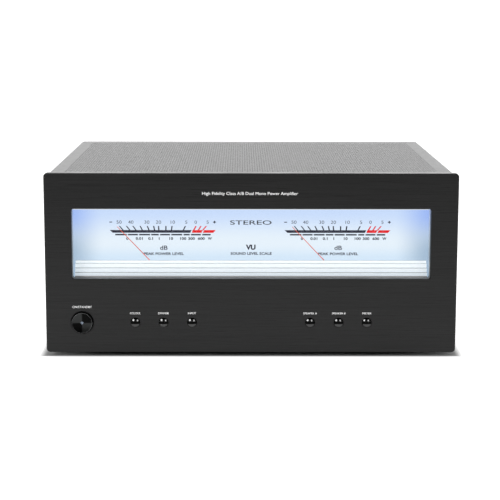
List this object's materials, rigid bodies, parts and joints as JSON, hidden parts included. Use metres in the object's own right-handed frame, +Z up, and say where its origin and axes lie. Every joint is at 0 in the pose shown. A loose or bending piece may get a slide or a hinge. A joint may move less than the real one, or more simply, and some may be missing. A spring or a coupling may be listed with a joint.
{
  "type": "power amplifier",
  "caption": "Stereo audio power amplifier with a wide backlit needle-meter window, push buttons, a vented cover and rear speaker terminals.",
  "frame": {"origin": "bottom centre of the bounding box, on the ground under the feet", "axes": "+X to the right seen from the front, +Y from the front panel to the rear panel, +Z up"},
  "size_m": [0.43, 0.386, 0.1938],
  "materials": {
    "black_anodised": "thick front panel, fine horizontal brushing, black anodised",
    "satin_black_paint": "satin black powder coat",
    "plated_steel": "zinc plated, satin",
    "black_chrome": "spun black chrome",
    "clear_acrylic": "clear, polished",
    "lit_dial": "opal sheet, printed, lit light blue from behind",
    "white_plastic": "smooth white",
    "needle_red": "satin orange-red",
    "circuit_board": "green solder mask",
    "black_plastic": "fine texture",
    "rubber": "matt",
    "bare_aluminium": "extruded, satin",
    "transformer_winding": "enamelled winding under clear film",
    "capacitor_sleeve": "shrunk sleeve, satin",
    "gold_plate": "gold plated, with tinted clear plastic shells on the clamping knobs"
  },
  "bodies": {
    "chassis": {"front_panel": "black_anodised", "sub_panel": "plated_steel", "display_window": "clear_acrylic", "display_housing": "white_plastic", "dial_plate": "lit_dial", "stepped_bar": "white_plastic", "light_board": "circuit_board", "meter_movement_left": "plated_steel", "meter_movement_right": "plated_steel", "standby_ring": "black_plastic", "switch_board": "circuit_board", "base_plate": "plated_steel", "top_cover": "satin_black_paint", "rear_panel": "satin_black_paint", "foot_front_left": "rubber", "foot_front_right": "rubber", "foot_rear_left": "rubber", "foot_rear_right": "rubber", "transformer_left": "transformer_winding", "transformer_right": "transformer_winding", "transformer_clamp_left": "plated_steel", "transformer_clamp_right": "plated_steel", "power_board": "circuit_board", "capacitor_1": "capacitor_sleeve", "capacitor_2": "capacitor_sleeve", "capacitor_3": "capacitor_sleeve", "capacitor_4": "capacitor_sleeve", "heatsink_left": "bare_aluminium", "heatsink_right": "bare_aluminium", "amp_board_left": "circuit_board", "amp_board_right": "circuit_board", "input_board": "circuit_board", "speaker_terminal_left": "black_plastic", "speaker_terminal_right": "black_plastic", "mains_inlet": "black_plastic", "fuse_drawer": "black_plastic", "mains_switch_body": "black_plastic", "rca_socket_left": "gold_plate", "rca_socket_right": "gold_plate", "xlr_socket_left": "black_plastic", "xlr_socket_right": "black_plastic", "trigger_socket": "gold_plate"},
    "colour_button": {"colour_button": "black_chrome"},
    "dimmer_button": {"dimmer_button": "black_chrome"},
    "input_button": {"input_button": "black_chrome"},
    "speaker_a_button": {"speaker_a_button": "black_chrome"},
    "speaker_b_button": {"speaker_b_button": "black_chrome"},
    "meter_button": {"meter_button": "black_chrome"},
    "standby_button": {"standby_button": "black_chrome"},
    "needle_left": {"needle_left": "needle_red"},
    "needle_right": {"needle_right": "needle_red"},
    "mains_rocker": {"mains_rocker": "black_plastic"},
    "post_knob_left_1": {"post_knob_left_1": "gold_plate"},
    "post_knob_left_2": {"post_knob_left_2": "gold_plate"},
    "post_knob_left_3": {"post_knob_left_3": "gold_plate"},
    "post_knob_left_4": {"post_knob_left_4": "gold_plate"},
    "post_knob_right_1": {"post_knob_right_1": "gold_plate"},
    "post_knob_right_2": {"post_knob_right_2": "gold_plate"},
    "post_knob_right_3": {"post_knob_right_3": "gold_plate"},
    "post_knob_right_4": {"post_knob_right_4": "gold_plate"}
  },
  "joints": [
    {"name": "standby_press", "type": "slide", "parent": "chassis", "child": "standby_button", "axis": [0, 1, 0], "range_m": [0, 0.0017], "stiffness_N_per_m": 300},
    {"name": "colour_press", "type": "slide", "parent": "chassis", "child": "colour_button", "axis": [0, 1, 0], "range_m": [0, 0.0015], "stiffness_N_per_m": 300},
    {"name": "dimmer_press", "type": "slide", "parent": "chassis", "child": "dimmer_button", "axis": [0, 1, 0], "range_m": [0, 0.0015], "stiffness_N_per_m": 300},
    {"name": "input_press", "type": "slide", "parent": "chassis", "child": "input_button", "axis": [0, 1, 0], "range_m": [0, 0.0015], "stiffness_N_per_m": 300},
    {"name": "speaker_a_press", "type": "slide", "parent": "chassis", "child": "speaker_a_button", "axis": [0, 1, 0], "range_m": [0, 0.0015], "stiffness_N_per_m": 300},
    {"name": "speaker_b_press", "type": "slide", "parent": "chassis", "child": "speaker_b_button", "axis": [0, 1, 0], "range_m": [0, 0.0015], "stiffness_N_per_m": 300},
    {"name": "meter_press", "type": "slide", "parent": "chassis", "child": "meter_button", "axis": [0, 1, 0], "range_m": [0, 0.0015], "stiffness_N_per_m": 300},
    {"name": "needle_left_swing", "type": "hinge", "parent": "chassis", "child": "needle_left", "pos_m": [-0.0958, -0.161, 0.0855], "axis": [0, 1, 0], "range_deg": [0, 87], "stiffness_Nm_per_rad": 0.0002},
    {"name": "needle_right_swing", "type": "hinge", "parent": "chassis", "child": "needle_right", "pos_m": [0.0891, -0.161, 0.0855], "axis": [0, 1, 0], "range_deg": [0, 87], "stiffness_Nm_per_rad": 0.0002},
    {"name": "mains_rocker_tilt", "type": "hinge", "parent": "chassis", "child": "mains_rocker", "pos_m": [0.048, 0.16, 0.046], "axis": [1, 0, 0], "range_deg": [0, 20]},
    {"name": "post_knob_left_1_turn", "type": "hinge", "parent": "chassis", "child": "post_knob_left_1", "pos_m": [-0.16, 0.18, 0.092], "axis": [0, 1, 0], "range_deg": [0, 720]},
    {"name": "post_knob_left_2_turn", "type": "hinge", "parent": "chassis", "child": "post_knob_left_2", "pos_m": [-0.138, 0.18, 0.092], "axis": [0, 1, 0], "range_deg": [0, 720]},
    {"name": "post_knob_left_3_turn", "type": "hinge", "parent": "chassis", "child": "post_knob_left_3", "pos_m": [-0.098, 0.18, 0.092], "axis": [0, 1, 0], "range_deg": [0, 720]},
    {"name": "post_knob_left_4_turn", "type": "hinge", "parent": "chassis", "child": "post_knob_left_4", "pos_m": [-0.076, 0.18, 0.092], "axis": [0, 1, 0], "range_deg": [0, 720]},
    {"name": "post_knob_right_1_turn", "type": "hinge", "parent": "chassis", "child": "post_knob_right_1", "pos_m": [0.076, 0.18, 0.092], "axis": [0, 1, 0], "range_deg": [0, 720]},
    {"name": "post_knob_right_2_turn", "type": "hinge", "parent": "chassis", "child": "post_knob_right_2", "pos_m": [0.098, 0.18, 0.092], "axis": [0, 1, 0], "range_deg": [0, 720]},
    {"name": "post_knob_right_3_turn", "type": "hinge", "parent": "chassis", "child": "post_knob_right_3", "pos_m": [0.138, 0.18, 0.092], "axis": [0, 1, 0], "range_deg": [0, 720]},
    {"name": "post_knob_right_4_turn", "type": "hinge", "parent": "chassis", "child": "post_knob_right_4", "pos_m": [0.16, 0.18, 0.092], "axis": [0, 1, 0], "range_deg": [0, 720]}
  ]
}
